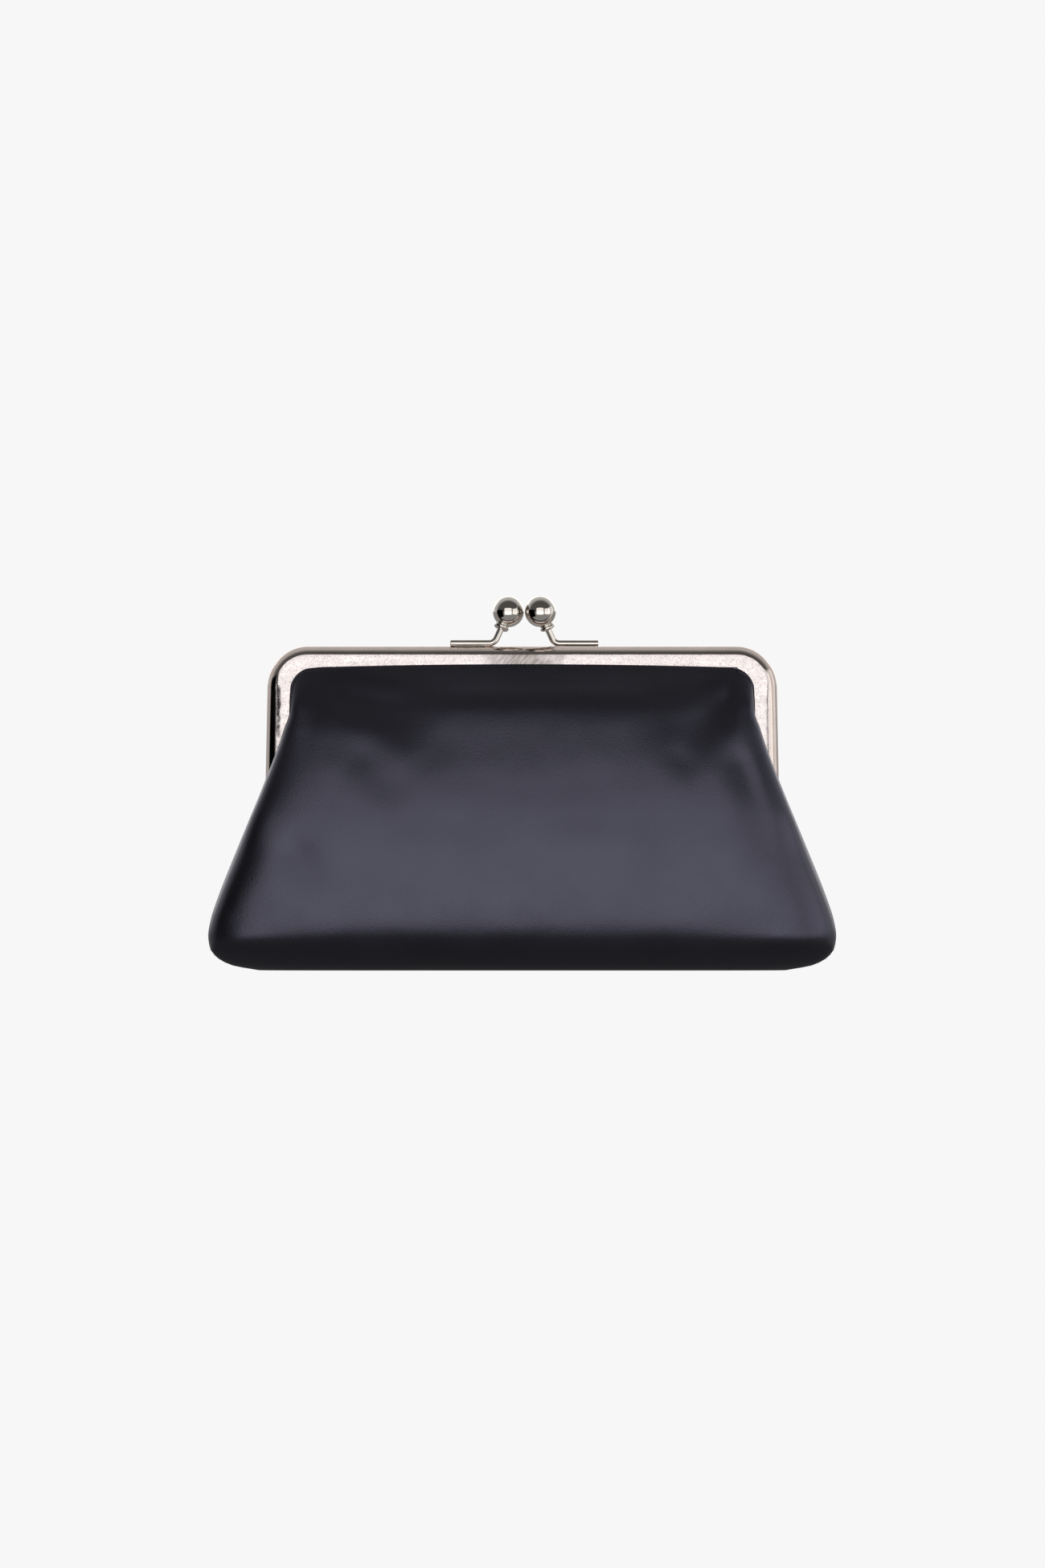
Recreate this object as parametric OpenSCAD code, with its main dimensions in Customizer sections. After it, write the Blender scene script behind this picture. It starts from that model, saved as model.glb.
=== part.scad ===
// Kiss lock frame purse: a leather pouch held by two hinged halves of a metal channel frame.
// Origin at the middle of the base. +X is to the right, the front faces -Y, +Z is up.

/* [Frame] */
// Height of the frame's top above the surface the purse stands on
frame_top = 104.1; // [102:0.1:106]
// Half the outer width where the corners meet the legs
frame_half_w = 82; // [80:0.5:84]
// Lean of each leg away from the vertical, in degrees
leg_flare = 1.1488; // [0.5:0.0001:2]
// Outer radius of the two corners
corner_r = 13; // [12:0.5:14]
// Radius of the corners along the inner edge of the band
inner_corner_r = 7.8; // [7:0.1:8.5]
// Rim and band together, on the legs
leg_band = 7.5; // [7:0.1:8]
// Rim and band together, at the ends of the top rail
rail_band = 7; // [6.5:0.1:7.5]
// Rise of the rail's inner edge between its ends and its middle
rail_arch = 1; // [0:0.1:1.5]
// Depth of one half's channel, front to back
channel_w = 4.65; // [4.5:0.05:4.8]
// Thickness of the pressed metal
metal_t = 0.7; // [0.6:0.05:0.8]
// Width of the sloping rim, seen from the front
rim_w = 2.6; // [2.4:0.1:2.8]
// Radius of the rim's curve
rim_r = 6; // [5:0.5:8]

/* [Hinge] */
// Height of the hinge line
hinge_z = 49; // [48:0.5:50]
// Radius of the lugs at the ends of the legs
lug_r = 3.4; // [3:0.1:3.6]
// Radius of the rivets' shanks
rivet_r = 1; // [0.8:0.05:1.2]

/* [Clasp] */
// Radius of the two balls
ball_r = 5; // [4.5:0.05:5.05]
// Distance between the balls' centres, side to side
ball_pitch = 10.3; // [10.25:0.05:11]
// Height of the balls' centres
ball_z = 115.3; // [114:0.1:117]
// Radius of the bent rods
rod_r = 1.1; // [0.9:0.05:1.2]
// Length of a rod's foot along the rail, up to the corner of its bend
foot_len = 14.1; // [12:0.1:16]
// Turn of a rod from its foot to its ball, in degrees
rod_angle = 66.4552; // [64:0.0001:69]

/* [Pouch] */
// Thickness of the leather
leather_t = 1.2; // [1:0.1:1.3]
// Thickness of the lining cloth
lining_t = 0.4; // [0.3:0.05:0.5]
// Fullness of the pouch seen from above: 2 is an ellipse, more is boxier
fullness = 6; // [4:0.5:7]
// Half the number of strips across a panel
strips = 12; // [8:1:16]

/* [Hidden] */

$fn = 64;
nickel = [0.78, 0.76, 0.73];
leather_black = [0.13, 0.13, 0.15];
lining_grey = [0.3, 0.29, 0.3];
paper_brown = [0.66, 0.55, 0.4];

// Frame: d is the distance in front of the meeting plane, p the distance in from the outer edge
half_gap = 0.15;
face_d = half_gap + channel_w;
wall_d = face_d - metal_t;
back_d = half_gap + metal_t;
roof_d = 1.5;
section_p = 9;
leg_end_z = hinge_z + 4.5;
inner_z = frame_top - rail_band - inner_corner_r;
far = 60;

// Lengths that neighbouring stretches share are kept to a thousandth, so that their ends meet exactly
function thousandth(v) = round(v * 1000) / 1000;
function leg_x(z) = frame_half_w + (inner_z - z) * tan(leg_flare);
function inner_x(z) = leg_x(z) - leg_band / cos(leg_flare);

corner_z = frame_top - corner_r;
corner_x = thousandth(leg_x(corner_z) - corner_r / cos(leg_flare));
inner_corner_x = inner_x(inner_z) - inner_corner_r / cos(leg_flare);
mouth_z = frame_top - rail_band;

// Centre of the rim's curve, which runs from the edge of the roof to the edge of the band
rim_drop = face_d - roof_d;
rim_chord = norm([rim_w, rim_drop]);
rim_reach = sqrt(rim_r * rim_r - rim_chord * rim_chord / 4);
rim_p = thousandth(rim_w / 2 + rim_reach * rim_drop / rim_chord);
rim_d = thousandth((face_d + roof_d) / 2 - rim_reach * rim_w / rim_chord);

// Hinge lugs: the front lug lies outside the rear one
lug_t = 0.75;
lug_out_x = leg_x(leg_end_z) - 0.1;
lug_gap = 0.1;
run_clear = 0.05;
neck_top_z = leg_end_z + 1.5;
neck_d = 2.2;

// Clasp: the front half's rod leans to the right and to the rear
pair_x = 0.7;
foot_d = 1.5;
foot_z = frame_top + 1;
ball_cross_d = 1;
bend_r = 2.6;
rod_tilt = atan2(foot_d + ball_cross_d, ball_z - foot_z);
rod_rise = norm([foot_d + ball_cross_d, ball_z - foot_z]);
bend_x = pair_x - ball_pitch / 2 - rod_rise / tan(rod_angle);
bend_tan = thousandth(bend_r * tan(rod_angle / 2));
rod_len = thousandth(rod_rise / sin(rod_angle) - bend_tan);
rod_in_ball = 2.5;

// Pouch: heights where the panels change body, and where the side seam ends
fold_z = 34;
upper_z = 52;
seam_end_z = 36;
body_gap = 0.3;
roll_d = 7.1;
lap_d = 6;
tuck = 3.1;
lining_gap = 0.3;
seam_step = 0.75;
turn_depths = [6.7, 5.9, 5.1, 4.3];
leather_d = wall_d - 0.1 - leather_t / 2;
lining_d = leather_d - leather_t / 2 - 0.05 - lining_t / 2;
cord_r = 0.72;
cord_d = back_d + cord_r + 0.03;
cord_p = 4.6;
seam_d = 0.05;
base_gap = 0.1;
lining_side = 6;
edge_angle = 80;

// Half the pouch's width at each height, seen from the front
edge_keys = [
    [0, 85.6], [1.5, 93.4], [4, 98], [7, 100.1], [11, 100.6], [16, 99.8], [22, 97.9],
    [58, 83.2], [70, 78.6], [75, 76.9], [80, 75.5], [85, 74.6], [105, 73]
];
// Depth of the pouch's middle in front of the meeting plane at each height
belly_keys = [
    [0, 8.5], [1.5, 12], [4, 15.2], [8, 18.6], [12, 20.6], [16, 21.5], [22, 22.1], [28, 22.4], [38, 22.5],
    [50, 21.9], [62, 20.3], [74, 17.7], [80, 16.2], [84, 14.8], [88, 12.3], [92, 8.8], [94.5, 6], [96, 4],
    [105, 4]
];
lower_rows = [0, 1.5, 4, 8, 12, 16, 22, 28, fold_z];
fold_rows = [fold_z, 38, 41, 44, 47, 49.5, upper_z - body_gap];
upper_rows = [upper_z, 56, 62, 68, 74, 77, 80, 82, 84, 86, 88, 90, 92, 94.5, 96, 98, mouth_z + tuck];

function edge_x(z) = lookup(z, edge_keys);
function belly_d(z) = lookup(z, belly_keys);
function smooth(t) = let (c = min(1, max(0, t))) c * c * (3 - 2 * c);
function mix(a, b, w) = a + (b - a) * w;
function arc_x(z, r) = sqrt(max(0, r * r - pow(max(0, z - inner_z), 2)));
// Edge of the channel's mouth, and the line the panels' edges reach inside the channel
function lip_x(z) = z < inner_z ? inner_x(z) : inner_corner_x + arc_x(z, inner_corner_r);
function tuck_x(z) = z < inner_z ? inner_x(z) + tuck : inner_corner_x + arc_x(z, inner_corner_r + tuck);
function opened(z) = smooth((z - seam_end_z) / (upper_z - 1 - seam_end_z));
function drawn_in(z) = smooth((z - 77) / 8);
function sunk(z) = smooth((z - 84) / 7);

// Right edge of the leather from its outermost point: a turned seam allowance below the hinge,
// a roll that laps over the band beside the legs, a turn straight into the channel at the corners,
// and a plain tuck under the rail
function seam_edge(z) = [for (k = [0:5]) [edge_x(z) - leather_t / 2 - seam_step * k, seam_d + leather_t / 2]];
function lap_edge(z) =
    let (x = edge_x(z) - leather_t / 2, lip = lip_x(z), fold = x - 1.1)
    [
        [x, roll_d], [fold, lap_d], [min(lip - 0.1, fold - 0.3), lap_d],
        [lip - 0.9, (lap_d + leather_d) / 2], [lip - 0.6, leather_d], [tuck_x(z), leather_d]
    ];
function turn_edge(z, depths) =
    let (lip = lip_x(z))
    [
        [lip - 1.6, depths[0]], [lip - 1.5, depths[1]], [lip - 1.3, depths[2]],
        [lip - 1, depths[3]], [lip - 0.6, leather_d], [tuck_x(z), leather_d]
    ];
function leather_edge(z) =
    let (beside = mix(seam_edge(z), lap_edge(z), opened(z)))
    let (corner = turn_edge(z, turn_depths))
    mix(mix(beside, corner, drawn_in(z)), turn_edge(z, [for (k = [0:3]) leather_d]), sunk(z));

// Right edge of the lining: beside the seam below the hinge, inside the leather in the channel above it
function lining_seam(z) =
    let (x = edge_x(z) - lining_side)
    [for (k = [0:2]) [x + 0.3 * k, seam_d + lining_t / 2]];
function lining_tuck(z) =
    let (lip = lip_x(z))
    [[lip - 2.4, mix(4.2, lining_d, sunk(z))], [lip - 1.3, lining_d], [tuck_x(z), lining_d]];
// The cloth moves in at once but comes forward late, so that it stays behind the leather's edge
function lining_edge(z) =
    let (seam = lining_seam(z), tucked = lining_tuck(z), w = opened(z))
    [for (k = [0:2]) [mix(seam[k][0], tucked[k][0], w), mix(seam[k][1], tucked[k][1], w * w)]];

// One row of a panel's middle surface, left to right, as [x, d], with its points evenly spread over the belly
function spread(t) = pow(t, fullness / 2);
function curve(x, d0, d1, a) = [x * pow(sin(a), 2 / fullness), d0 + (d1 - d0) * pow(cos(a), 2 / fullness)];
function row_of(edge, depth) =
    let (half = [for (k = [1:strips]) curve(edge[0][0], edge[0][1], depth, edge_angle * spread(k / strips))])
    let (right = concat(half, edge))
    concat([for (k = [len(right) - 1:-1:0]) [-right[k][0], right[k][1]]], [[0, depth]], right);
function leather_row(z) = row_of(leather_edge(z), belly_d(z) - leather_t / 2);
function lining_row(z) =
    row_of(lining_edge(z), max(lining_d, belly_d(z) - leather_t - lining_gap - lining_t / 2));

// The same row moved sideways by s, square to its own line
function moved(row, s) = [
    for (k = [0:len(row) - 1])
        let (t = row[min(k + 1, len(row) - 1)] - row[max(k - 1, 0)])
        row[k] + s * [-t[1], t[0]] / norm(t)
];
// The rows near the rail rise with its arch
function arched(x, z) = z + rail_arch * smooth((z - 90) / 7) * max(0, 1 - pow(x / inner_corner_x, 2));
function placed(row, z) = [for (q = row) [q[0], -q[1], arched(q[0], z)]];

// A closed sheet between two grids of points with the same rows and columns
module sheet(outer, inner) {
    rows = len(outer);
    cols = len(outer[0]);
    back = rows * cols;
    points = [for (grid = [outer, inner], row = grid) each row];
    cells = [for (r = [0:rows - 2], c = [0:cols - 2]) r * cols + c];
    faces = [
        for (a = cells) each [[a, a + cols, a + cols + 1], [a, a + cols + 1, a + 1]],
        for (a = cells) each [
            [back + a, back + a + cols + 1, back + a + cols], [back + a, back + a + 1, back + a + cols + 1]
        ],
        for (c = [0:cols - 2], a = [c]) each [[a, a + 1, back + a + 1], [a, back + a + 1, back + a]],
        for (c = [0:cols - 2], a = [back - cols + c]) each [
            [a, back + a, back + a + 1], [a, back + a + 1, a + 1]
        ],
        for (r = [0:rows - 2], a = [r * cols]) each [
            [a, back + a, back + a + cols], [a, back + a + cols, a + cols]
        ],
        for (r = [0:rows - 2], a = [r * cols + cols - 1]) each [
            [a, a + cols, back + a + cols], [a, back + a + cols, back + a]
        ]
    ];
    polyhedron(points, faces);
}

module leather_sheet(heights)
    sheet(
        [for (z = heights) placed(moved(leather_row(z), leather_t / 2), z)],
        [for (z = heights) placed(moved(leather_row(z), -leather_t / 2), z)]
    );

module lining_sheet(heights)
    sheet(
        [for (z = heights) placed(moved(lining_row(z), lining_t / 2), z)],
        [for (z = heights) placed(moved(lining_row(z), -lining_t / 2), z)]
    );

// One ring of the lower pouch, side seam to side seam, pulled in from the outside shape
function ring(z, side, front) = [
    for (k = [-strips - 1:strips + 1])
        let (q = curve(1, 0, 1, 90 * spread(abs(k) / (strips + 1))))
        [sign(k) * q[0] * (edge_x(z) - side), -max(seam_d, q[1] * (belly_d(z) - front))]
];
// Half of the base and the wall above it, from the bottom seam up to fold_z
function lower_grid(side, front, floor_z) = [
    [for (q = ring(0, side, front)) [q[0], -seam_d, floor_z]],
    for (z = lower_rows) [
        for (q = ring(z, side, front)) [q[0], q[1], floor_z + z * (fold_z - floor_z) / fold_z]
    ]
];

module lower_sheet(side, front, floor_z, t)
    sheet(lower_grid(side, front, floor_z), lower_grid(side + t, front + t, floor_z + t));

// Section of the channel as [p, d], or of its hollow when t is the thickness of the metal: a roof, a rim that
// slopes from the roof to the band, and a flat band
module rimmed(t) {
    height = face_d - half_gap - 2 * t;
    intersection() {
        translate([rim_p, rim_d]) circle(rim_r - t, $fn = 128);
        translate([t, half_gap + t]) square([rim_p - t, height]);
    }
    translate([rim_p - 1, half_gap + t]) square([section_p + 1 + t - rim_p, height]);
}

module solid_section() rimmed(0);

module channel_section()
    difference() {
        rimmed(0);
        rimmed(metal_t);
    }

// Puts the front view's plane, with d towards the viewer, into the XZ plane
module front_view() rotate([90, 0, 0]) children();

module rail()
    translate([0, frame_top, 0]) rotate([90, 0, -90]) linear_extrude(2 * corner_x, center = true) children();

module corner()
    translate([corner_x, corner_z, 0]) rotate([0, 0, leg_flare])
        rotate_extrude(angle = 90 - leg_flare) translate([corner_r, 0]) mirror([1, 0]) children();

module leg()
    translate([corner_x, corner_z, 0]) rotate([0, 0, leg_flare]) translate([corner_r, -far, 0])
        rotate([90, 0, 180]) linear_extrude(far) children();

// Follows the frame's outer edge with the section given as children
module u_sweep() {
    rail() children();
    for (side = [0, 1]) mirror([side, 0, 0]) {
        corner() children();
        leg() children();
    }
}

// Everything inside the band's inner edge
module inner_area() {
    arc = [for (a = [leg_flare:(90 - leg_flare) / 12:90.01]) inner_corner_r * [cos(a), sin(a)]];
    side = concat([[inner_x(0), 0]], [for (q = arc) [inner_corner_x, inner_z] + q]);
    arch = [for (x = [55:-11:-55]) [x, mouth_z + rail_arch * (1 - pow(x / inner_corner_x, 2))]];
    polygon(concat(side, arch, [for (k = [len(side) - 1:-1:0]) [-side[k][0], side[k][1]]]));
}

module below(z) translate([-far * 2, z - 2 * far, -far]) cube([far * 4, 2 * far, far * 2]);

module half_channel()
    front_view() difference() {
        u_sweep() channel_section();
        translate([0, 0, -1]) linear_extrude(channel_w + 2) inner_area();
        below(leg_end_z);
    }

// Lug of the front half, with its inner face at x, seen along X as [y, z]
module lug(x)
    translate([x, 0, 0]) rotate([90, 0, 90]) linear_extrude(lug_t) {
        translate([0, hinge_z]) circle(lug_r);
        polygon([
            [-neck_d, neck_top_z], [-half_gap, neck_top_z], [-half_gap, hinge_z], [-lug_r, hinge_z],
            [-lug_r, hinge_z + 1.5], [-neck_d, leg_end_z]
        ]);
    }

module lug_bore(x, r) translate([x - 0.5, 0, hinge_z]) rotate([0, 90, 0]) cylinder(h = lug_t + 1, r = r);

module front_frame() color(nickel) {
    x = lug_out_x - lug_t;
    difference() {
        union() {
            half_channel();
            for (side = [0, 1]) mirror([side, 0, 0]) lug(x);
        }
        for (side = [0, 1]) mirror([side, 0, 0]) lug_bore(x, rivet_r + run_clear);
    }
}

// The rear lugs are stepped inwards by one thickness, behind the front ones
module rear_frame() color(nickel) {
    x = lug_out_x - 2 * lug_t - lug_gap;
    step = [lug_out_x - 0.2 - x, neck_d - half_gap, neck_top_z - leg_end_z];
    difference() {
        mirror([0, 1, 0]) {
            half_channel();
            for (side = [0, 1]) mirror([side, 0, 0]) {
                lug(x);
                translate([x, -neck_d, leg_end_z]) cube(step);
            }
        }
        for (side = [0, 1]) mirror([side, 0, 0]) lug_bore(x, rivet_r);
    }
}

module paper_cord() color(paper_brown)
    front_view() difference() {
        u_sweep() translate([cord_p, cord_d]) circle(cord_r, $fn = 24);
        below(neck_top_z + 0.5);
    }

// Rivet through both lugs: domed head outside, peened head inside
module hinge_rivet() color(nickel) {
    inner = lug_out_x - 2 * lug_t - lug_gap;
    outer = lug_out_x + run_clear;
    translate([0, 0, hinge_z]) rotate([0, 90, 0]) rotate_extrude()
        polygon([
            [0, inner - 0.7], [1.2, inner - 0.7], [1.7, inner - 0.3], [1.7, inner], [rivet_r, inner],
            [rivet_r, outer], [2, outer], [2, outer + 0.35], [1.5, outer + 0.75], [0.8, outer + 0.95],
            [0, outer + 1]
        ]);
}

// Plane of a bent rod: x along the foot, y up to the ball, origin where the two straights would meet
module rod_plane() translate([bend_x, -foot_d, foot_z]) rotate([90 - rod_tilt, 0, 0]) children();

// Origin at the end of the bend, +Z along the rod
module rod_start()
    translate([-bend_tan, bend_r, 0]) rotate([0, 0, rod_angle - 90]) translate([bend_r, 0, 0])
        rotate([-90, 0, 0]) children();

module at_ball() rod_plane() rod_start() translate([0, 0, rod_len]) children();

module clasp_stem() color(nickel)
    difference() {
        union() {
            rod_plane() {
                translate([-foot_len, 0, 0]) rotate([0, 90, 0]) cylinder(h = foot_len - bend_tan, r = rod_r);
                translate([-bend_tan, bend_r, 0]) rotate([0, 0, -90])
                    rotate_extrude(angle = rod_angle) translate([bend_r, 0]) circle(rod_r);
                rod_start() cylinder(h = rod_len - rod_in_ball, r = rod_r);
            }
            translate([bend_x - foot_len + 0.5, -foot_d - 0.7, frame_top - 0.8])
                cube([foot_len - 3, 1.6, 1.3]);
        }
        front_view() rail() solid_section();
    }

module clasp_collar() color(nickel)
    at_ball() rotate_extrude() difference() {
        union() {
            translate([1.7, -5.6]) circle(0.75);
            translate([0, -6.1]) square([1.75, 2]);
        }
        translate([-1, -8]) square([rod_r + 1, 8]);
        circle(ball_r);
    }

module clasp_ball() color(nickel)
    at_ball() difference() {
        sphere(ball_r);
        translate([0, 0, -rod_in_ball - far]) cylinder(h = far, r = rod_r);
    }

// The rear half's clasp is the front one turned half a turn about the middle of the pair
module to_rear_clasp() translate([pair_x, 0, 0]) rotate([0, 0, 180]) translate([-pair_x, 0, 0]) children();

module leather_upper() color(leather_black) leather_sheet(upper_rows);
module leather_fold() color(leather_black) leather_sheet(fold_rows);
module leather_lower() color(leather_black) lower_sheet(0, 0, 0, leather_t);
module lining_upper() color(lining_grey) lining_sheet(upper_rows);
module lining_fold() color(lining_grey) lining_sheet(fold_rows);
module lining_lower() color(lining_grey)
    lower_sheet(lining_side, leather_t + 0.5, leather_t + base_gap, lining_t);

front_frame();
paper_cord();  // front_paper_cord
clasp_stem();  // front_clasp_stem
clasp_collar();  // front_clasp_collar
clasp_ball();  // front_clasp_ball
leather_upper();  // front_leather_upper
lining_upper();  // front_lining_upper
rear_frame();
mirror([0, 1, 0]) paper_cord();  // rear_paper_cord
to_rear_clasp() clasp_stem();  // rear_clasp_stem
to_rear_clasp() clasp_collar();  // rear_clasp_collar
to_rear_clasp() clasp_ball();  // rear_clasp_ball
mirror([0, 1, 0]) leather_upper();  // rear_leather_upper
mirror([0, 1, 0]) lining_upper();  // rear_lining_upper
mirror([1, 0, 0]) hinge_rivet();  // left_hinge_rivet
hinge_rivet();  // right_hinge_rivet
leather_fold();  // front_leather_fold
lining_fold();  // front_lining_fold
mirror([0, 1, 0]) leather_fold();  // rear_leather_fold
mirror([0, 1, 0]) lining_fold();  // rear_lining_fold
leather_lower();  // front_leather_lower
lining_lower();  // front_lining_lower
mirror([0, 1, 0]) leather_lower();  // rear_leather_lower
mirror([0, 1, 0]) lining_lower();  // rear_lining_lower
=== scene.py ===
import math

import bpy
from mathutils import Matrix, Vector, noise


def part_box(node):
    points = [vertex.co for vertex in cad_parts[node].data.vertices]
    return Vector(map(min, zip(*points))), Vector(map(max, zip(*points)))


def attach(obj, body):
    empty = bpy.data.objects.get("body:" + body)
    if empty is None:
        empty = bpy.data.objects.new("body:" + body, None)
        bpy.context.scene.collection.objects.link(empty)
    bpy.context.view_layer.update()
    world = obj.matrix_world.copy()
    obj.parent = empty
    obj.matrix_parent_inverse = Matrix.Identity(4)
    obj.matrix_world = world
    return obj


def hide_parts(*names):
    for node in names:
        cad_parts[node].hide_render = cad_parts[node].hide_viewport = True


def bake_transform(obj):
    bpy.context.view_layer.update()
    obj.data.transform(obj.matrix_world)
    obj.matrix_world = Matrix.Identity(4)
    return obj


# Kiss lock frame purse. Everything is drawn in millimetres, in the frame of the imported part, with d the
# distance in front of the plane where the halves meet, and it is turned to metres as each piece is finished.

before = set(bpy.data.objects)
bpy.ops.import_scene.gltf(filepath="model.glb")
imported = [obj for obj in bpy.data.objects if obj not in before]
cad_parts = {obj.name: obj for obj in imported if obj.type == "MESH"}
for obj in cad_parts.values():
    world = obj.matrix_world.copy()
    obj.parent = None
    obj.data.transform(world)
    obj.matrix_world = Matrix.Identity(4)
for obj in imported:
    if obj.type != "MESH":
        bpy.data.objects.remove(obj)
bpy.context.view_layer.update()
mm = 0.001
frameTop = (Vector(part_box("front_frame")[1]) / mm).z

purseFrame = {
    "top": frameTop,
    "halfWidth": 82,  # where the corners meet the legs
    "legFlare": 1.1488,  # degrees
    "cornerRadius": 13,
    "innerCornerRadius": 7.8,
    "legBand": 7.5,  # rim and band together
    "railBand": 7,
    "railArch": 1,
    "halfGap": 0.15,
    "faceDepth": 4.8,
    "roofDepth": 1.5,
    "rimWidth": 2.6,
    "rimRadius": 6,
    "legRound": 5.6,  # the legs' faces fall back from here to the rim
    "legFall": 0.36,  # and by this much at the rim
    "metal": 0.7,
    "edgeRounding": 0.12,
    "legEnd": 53.5,
}
hinge = {
    "height": 49,
    "lugRadius": 3.4,
    "lugInset": 0.1,  # from the leg's outer face
    "lugThickness": 0.75,
    "step": 0.85,  # the rear lug lies this much further in
    "neckTop": 55,
    "neckDepth": 2.2,
    "rivetRadius": 1,
    "headRadius": 2,
    "headGap": 0.05,
    "peenRadius": 1.7,
}
clasp = {
    "middle": 0.7,  # the pair stands this much right of the frame's middle
    "pitch": 10.3,
    "ballRadius": 5,
    "ballHeight": 115.3,
    "rodRadius": 1.1,
    "footLength": 14.1,
    "footDepth": 1.5,
    "footHeight": frameTop + 1,
    "crossDepth": 1,  # the ball passes this far behind the meeting plane
    "bendRadius": 2.6,
    "turn": 66.4552,  # degrees from the foot to the ball
    "rodInBall": 2.5,
    "brazeWidth": 2.2,
    "brazeHeight": 0.7,
}
collarShape = {  # radius, and height from the ball's centre along the rod
    "foot": [(1.12, -6.35), (1.4, -6.3)],
    "ring": (1.7, -5.6),
    "ringRadius": 0.75,
    "bead": (1.85, -4.72),
    "beadRadius": 0.3,
    "top": [(1.75, -4.4), (1.75, -4.1), (1.12, -4.1)],
}
leather = {
    "thickness": 1.2,
    "fullness": 6,
    "depthInChannel": 3.4,
    "seamGap": 0.05,
    "seamStep": 0.75,
    "tuck": 3.1,
    "turnDepths": (6.7, 5.9, 5.1, 4.3),  # where the leather turns into the channel
    "rollDepth": 7.1,
    "lapDepth": 6,
    "seamEnd": 36,
    "opensAt": 51,
    "strips": 20,
    "smoothing": 3,
    "baseRows": 10,
    "rowStep": 1.3,
}
lining = {"thickness": 0.4, "depthInChannel": 2.55, "sideGap": 6, "layerGap": 0.3}
paperCord = {"radius": 0.72, "inset": 4.6, "depth": 1.6, "endHeight": 55.5}

# Half the pouch's width, and the depth of its middle, at heights above the base
edgeKeys = [
    (0, 85.6), (1.5, 93.4), (4, 98), (7, 100.1), (11, 100.6), (16, 99.8), (22, 97.9), (58, 83.2),
    (70, 78.6), (75, 76.9), (80, 75.5), (85, 74.6), (105, 73),
]
bellyKeys = [
    (0, 8.5), (1.5, 12), (4, 15.2), (8, 18.6), (12, 20.6), (16, 21.5), (22, 22.1), (28, 22.4), (38, 22.5),
    (50, 21.9), (62, 20.3), (74, 17.7), (80, 16.2), (84, 14.8), (88, 12.3), (92, 8.8), (94.5, 6.3), (96, 4.9),
    (97, 4), (105, 4),
]


def deselectAll():
    bpy.ops.object.select_all(action="DESELECT")


def only(piece):
    deselectAll()
    piece.select_set(True)
    bpy.context.view_layer.objects.active = piece


def edit(piece, mode="VERT"):
    only(piece)
    bpy.ops.object.mode_set(mode="EDIT")
    bpy.ops.mesh.select_mode(type=mode)


def editAll(piece):
    edit(piece)
    bpy.ops.mesh.select_all(action="SELECT")


def leaveEdit():
    bpy.ops.object.mode_set(mode="OBJECT")


def pull(x, y, z):
    bpy.ops.mesh.extrude_region_move(TRANSFORM_OT_translate={"value": (x, y, z)})


def wheel(steps, angle, centre, axis):  # the spin tool turns against the right-hand rule
    bpy.ops.mesh.spin(steps=steps, angle=-angle, center=centre, axis=axis)


def ringOf(name, points):  # a closed outline, started from a circle
    deselectAll()
    bpy.ops.mesh.primitive_circle_add(vertices=len(points), radius=1)
    ring = bpy.context.active_object
    ring.name = name
    for vertex, point in zip(ring.data.vertices, points):
        vertex.co = point
    return ring


def facesOut(piece):
    editAll(piece)
    bpy.ops.mesh.remove_doubles(threshold=0.0005)
    bpy.ops.mesh.normals_make_consistent(inside=False)
    leaveEdit()


def addModifier(piece, kind, **settings):
    only(piece)
    modifier = piece.modifiers.new(kind.title(), kind)
    for name, value in settings.items():
        setattr(modifier, name, value)
    bpy.ops.object.modifier_apply(modifier=modifier.name)


def joined(name, pieces):
    only(pieces[0])
    for piece in pieces[1:]:
        piece.select_set(True)
    bpy.ops.object.join()
    pieces[0].name = name
    return pieces[0]


def copyOf(piece, name, matrix):
    deselectAll()
    twin = piece.copy()
    twin.data = piece.data.copy()
    twin.name = name
    bpy.context.collection.objects.link(twin)
    twin.data.transform(matrix)
    if matrix.determinant() < 0:
        twin.data.flip_normals()
    return twin


def finished(piece, materials, smoothAngle=32):
    piece.data.transform(Matrix.Scale(mm, 4))
    piece.data.materials.clear()
    for material in materials:
        piece.data.materials.append(material)
    only(piece)
    bpy.ops.object.shade_smooth_by_angle(angle=math.radians(smoothAngle))
    return piece


mirrorDepth = Matrix.Scale(-1, 4, (0, 1, 0))
mirrorSide = Matrix.Scale(-1, 4, (1, 0, 0))


def smooth(t):
    c = min(1, max(0, t))
    return c * c * (3 - 2 * c)


def mix(a, b, w):
    return a + (b - a) * w


def along(keys, t):  # a smooth line through the keys that never overshoots them
    if t <= keys[0][0]:
        return keys[0][1]
    if t >= keys[-1][0]:
        return keys[-1][1]
    i = max(k for k in range(len(keys) - 1) if keys[k][0] <= t)

    def slope(k):
        if k < 0 or k >= len(keys) - 1:
            return None
        return (keys[k + 1][1] - keys[k][1]) / (keys[k + 1][0] - keys[k][0])

    def tangent(k):
        before, after = slope(k - 1), slope(k)
        if before is None or after is None:
            return before if after is None else after
        return 0 if before * after <= 0 else 2 * before * after / (before + after)

    (t0, v0), (t1, v1) = keys[i], keys[i + 1]
    h = t1 - t0
    s = (t - t0) / h
    return (
        v0 * (1 + 2 * s) * (1 - s) ** 2 + h * tangent(i) * s * (1 - s) ** 2
        + v1 * s * s * (3 - 2 * s) + h * tangent(i + 1) * s * s * (s - 1)
    )


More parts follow.
